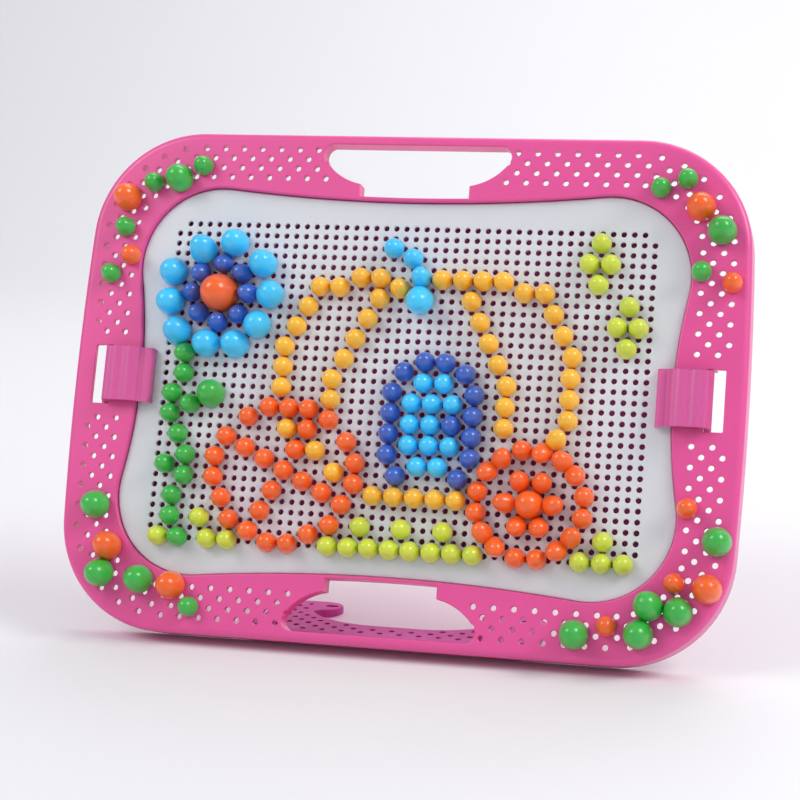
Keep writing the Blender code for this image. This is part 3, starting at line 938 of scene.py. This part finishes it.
def peg_profile(size):
    """Half the section of a peg as (radius, z), from the end of its shank to the tip of its cap."""
    radius, height = CAPS[size]
    tip = -SHANK_LENGTH
    profile = [(0.35 * SHANK, tip), (0.75 * SHANK, tip + 0.35), (SHANK, tip + 1.3)]
    profile += [(SHANK, 0.05), (SHANK + 0.35, GAP), (radius - 1.1, GAP)]
    profile += [(radius - CAP_LIP, GAP + 0.05), (radius - 0.1, GAP + CAP_LIP)]
    for i in range(CAP_STEPS + 1):
        rise = math.radians(6 + 82 * i / CAP_STEPS)
        profile.append((radius * math.cos(rise) ** CAP_BLUNT, GAP + height * math.sin(rise)))
    return profile


def peg_mesh(size):
    name = "peg_" + size
    found = bpy.data.meshes.get(name)
    if found:
        return found
    mesh = turned(peg_profile(size), [(0.0, 0.0)], CAP_SIDES[size])
    mesh.name = name
    return mesh


def near_pairs(pegs):
    """The pairs of pegs whose caps may meet."""
    pairs = []
    for i, first in enumerate(pegs):
        for second in pegs[i + 1:]:
            reach = CAPS[first["size"]][0] + CAPS[second["size"]][0] + LEAN_ROOM
            if (Vector(first["at"]) - Vector(second["at"])).length < reach:
                pairs.append((first, second))
    return pairs


def settle_pegs(pegs):
    """Leans apart the pegs whose caps would meet, as they do in their holes."""
    pairs = near_pairs(pegs)
    for _ in range(SETTLE_PASSES):
        for first, second in pairs:
            apart = second["at"] + second["lean"] - first["at"] - first["lean"]
            room = CAPS[first["size"]][0] + CAPS[second["size"]][0] + CAP_CLEARANCE
            short = room - apart.length
            if short > 0:
                push = apart.normalized() * short / 2
                first["lean"] -= push
                second["lean"] += push


def peg_matrix(peg):
    """The peg's place in the flat drawing, leaning about the hole's upper edge."""
    radius, height = CAPS[peg["size"]]
    widest = GAP + CAP_WIDEST * height
    lean = math.atan2(peg["lean"].length, widest)
    axis = Vector((-peg["lean"].y, peg["lean"].x, 0.0))
    lift = max(0.0, radius * math.sin(lean) - LEAN_SINK)
    turn = Matrix.Rotation(lean, 4, axis) if axis.length > TINY else Matrix.Identity(4)
    at = Vector((peg["at"].x, peg["at"].y, peg["level"] + lift)) * MM
    return Matrix.Translation(at) @ turn


def cad_pegs(nodes, board):
    """The pegs the frame holds, read from their solids."""
    pegs = []
    for name, node in sorted(nodes.items()):
        low, high = flat_box(node, board)
        width = high.x - low.x
        slot = node.data.materials[0].name
        if slot in ("border_pink", "clip_pink", "plate_white"):
            continue
        size = min(CAPS, key=lambda key: abs(2 * CAPS[key][0] - width))
        at = (low + high) / 2
        level = 0.0 if low.z + SHANK_LENGTH > PLATE_TOP / 2 else PLATE_TOP
        pegs.append(dict(group=name, node=name, size=size, colour=slot, at=at.xy, level=level))
    return pegs


def pattern_pegs():
    pegs = []
    for group, size, colour, spots in PATTERN:
        for column, row in spots:
            at = Vector(grid_place(column, row))
            peg = dict(group=group, node=None, size=size, colour=colour, at=at, level=PLATE_TOP)
            pegs.append(peg)
    return pegs


def make_group(name, pegs, board):
    """One piece from the pegs of a group, each with its own slight tone."""
    build = bmesh.new()
    tone = build.verts.layers.float.new("tone")
    for peg in pegs:
        start = len(build.verts)
        build.from_mesh(peg_mesh(peg["size"]))
        build.verts.ensure_lookup_table()
        added = build.verts[start:]
        bmesh.ops.transform(build, matrix=peg_matrix(peg), verts=added)
        for vertex in added:
            vertex[tone] = peg["tone"]
    mesh = bpy.data.meshes.new(name)
    build.to_mesh(mesh)
    build.free()
    made = new_object(name, mesh, board)
    node = pegs[0]["node"]
    colour = pegs[0]["colour"]
    if node:
        finish_piece(made, node + "_cap", colour, node, [node])
    else:
        finish_piece(made, name + "_pegs", colour, "board", [])


def make_pegs(nodes, board):
    pegs = cad_pegs(nodes, board) + pattern_pegs()
    draw = random.Random(SEED)
    for peg in pegs:
        peg["lean"] = Vector((draw.uniform(-LEAN, LEAN), draw.uniform(-LEAN, LEAN)))
        peg["tone"] = draw.uniform(-TONE, TONE)
    settle_pegs(pegs)
    groups = {}
    for peg in pegs:
        groups.setdefault(peg["group"], []).append(peg)
    for name, members in groups.items():
        make_group(name, members, board)


# Stage


def make_floor():
    """A plain pale floor that curves up into the wall behind."""
    line = [(-FLOOR_REACH, 0.0), (FLOOR_BACK, 0.0)]
    for i in range(1, 10):
        turn = math.radians(10 * i)
        rise = FLOOR_BEND - FLOOR_BEND * math.cos(turn)
        line.append((FLOOR_BACK + FLOOR_BEND * math.sin(turn), rise))
    line.append((FLOOR_BACK + FLOOR_BEND, FLOOR_TOP))
    build = bmesh.new()
    ends = (-FLOOR_REACH, FLOOR_REACH)
    left, right = [[build.verts.new((x, y, z)) for y, z in line] for x in ends]
    for i in range(len(line) - 1):
        build.faces.new((left[i], left[i + 1], right[i + 1], right[i]))
    mesh = bpy.data.meshes.new("floor")
    build.to_mesh(mesh)
    build.free()
    mesh.shade_smooth()
    paint = bpy.data.materials.new("floor_paint")
    paint.use_nodes = True
    shader = paint.node_tree.nodes["Principled BSDF"]
    shader.inputs["Base Color"].default_value = FLOOR_COLOUR
    shader.inputs["Roughness"].default_value = FLOOR_ROUGHNESS
    mesh.materials.append(paint)
    new_object("floor", mesh, Matrix.Identity(4))


def add_light(name, place, target, size, power):
    data = bpy.data.lights.new(name, "AREA")
    data.size = size
    data.energy = power
    light = bpy.data.objects.new(name, data)
    bpy.context.scene.collection.objects.link(light)
    light.location = place
    light.rotation_mode = "QUATERNION"
    light.rotation_quaternion = (target - Vector(place)).to_track_quat("-Z", "Y")


def make_sky():
    """A pale sky, brighter to the camera than as a light."""
    world = bpy.data.worlds.new("studio")
    world.use_nodes = True
    tree = world.node_tree
    sky = tree.nodes["Background"]
    sky.inputs["Color"].default_value = SKY_COLOUR
    seen = add_node(tree, "ShaderNodeLightPath")
    strength = add_range(tree, seen.outputs["Is Camera Ray"], (SKY_LIGHT, SKY_SEEN))
    tree.links.new(strength, sky.inputs["Strength"])
    bpy.context.scene.world = world


def make_lights(centre):
    for name, place, size, power in LAMPS:
        add_light(name, place, centre, size, power)
    name, place, size, power = WALL_LAMP
    add_light(name, place, Vector(WALL_LAMP_AIM), size, power)


def make_camera(centre):
    data = bpy.data.cameras.new("camera")
    data.lens = CAMERA_LENS
    camera = bpy.data.objects.new("camera", data)
    bpy.context.scene.collection.objects.link(camera)
    camera.location = CAMERA_PLACE
    aim = centre - Vector((0.0, 0.0, CAMERA_DROP))
    camera.rotation_mode = "QUATERNION"
    camera.rotation_quaternion = (aim - camera.location).to_track_quat("-Z", "Y")
    bpy.context.scene.camera = camera


def main():
    bpy.context.scene.view_settings.view_transform = "Standard"
    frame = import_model()
    cad_box = [list(corner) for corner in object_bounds()]
    board = board_matrix(frame["record"])
    make_border(board, frame["joints"])
    make_plate(board)
    make_clip(-1, "left_clip", board)
    make_clip(1, "right_clip", board)
    make_foot(frame["joints"])
    make_pegs(frame["nodes"], board)
    centre = (Vector(cad_box[0]) + Vector(cad_box[1])) / 2
    make_floor()
    make_sky()
    make_lights(centre)
    make_camera(centre)


main()
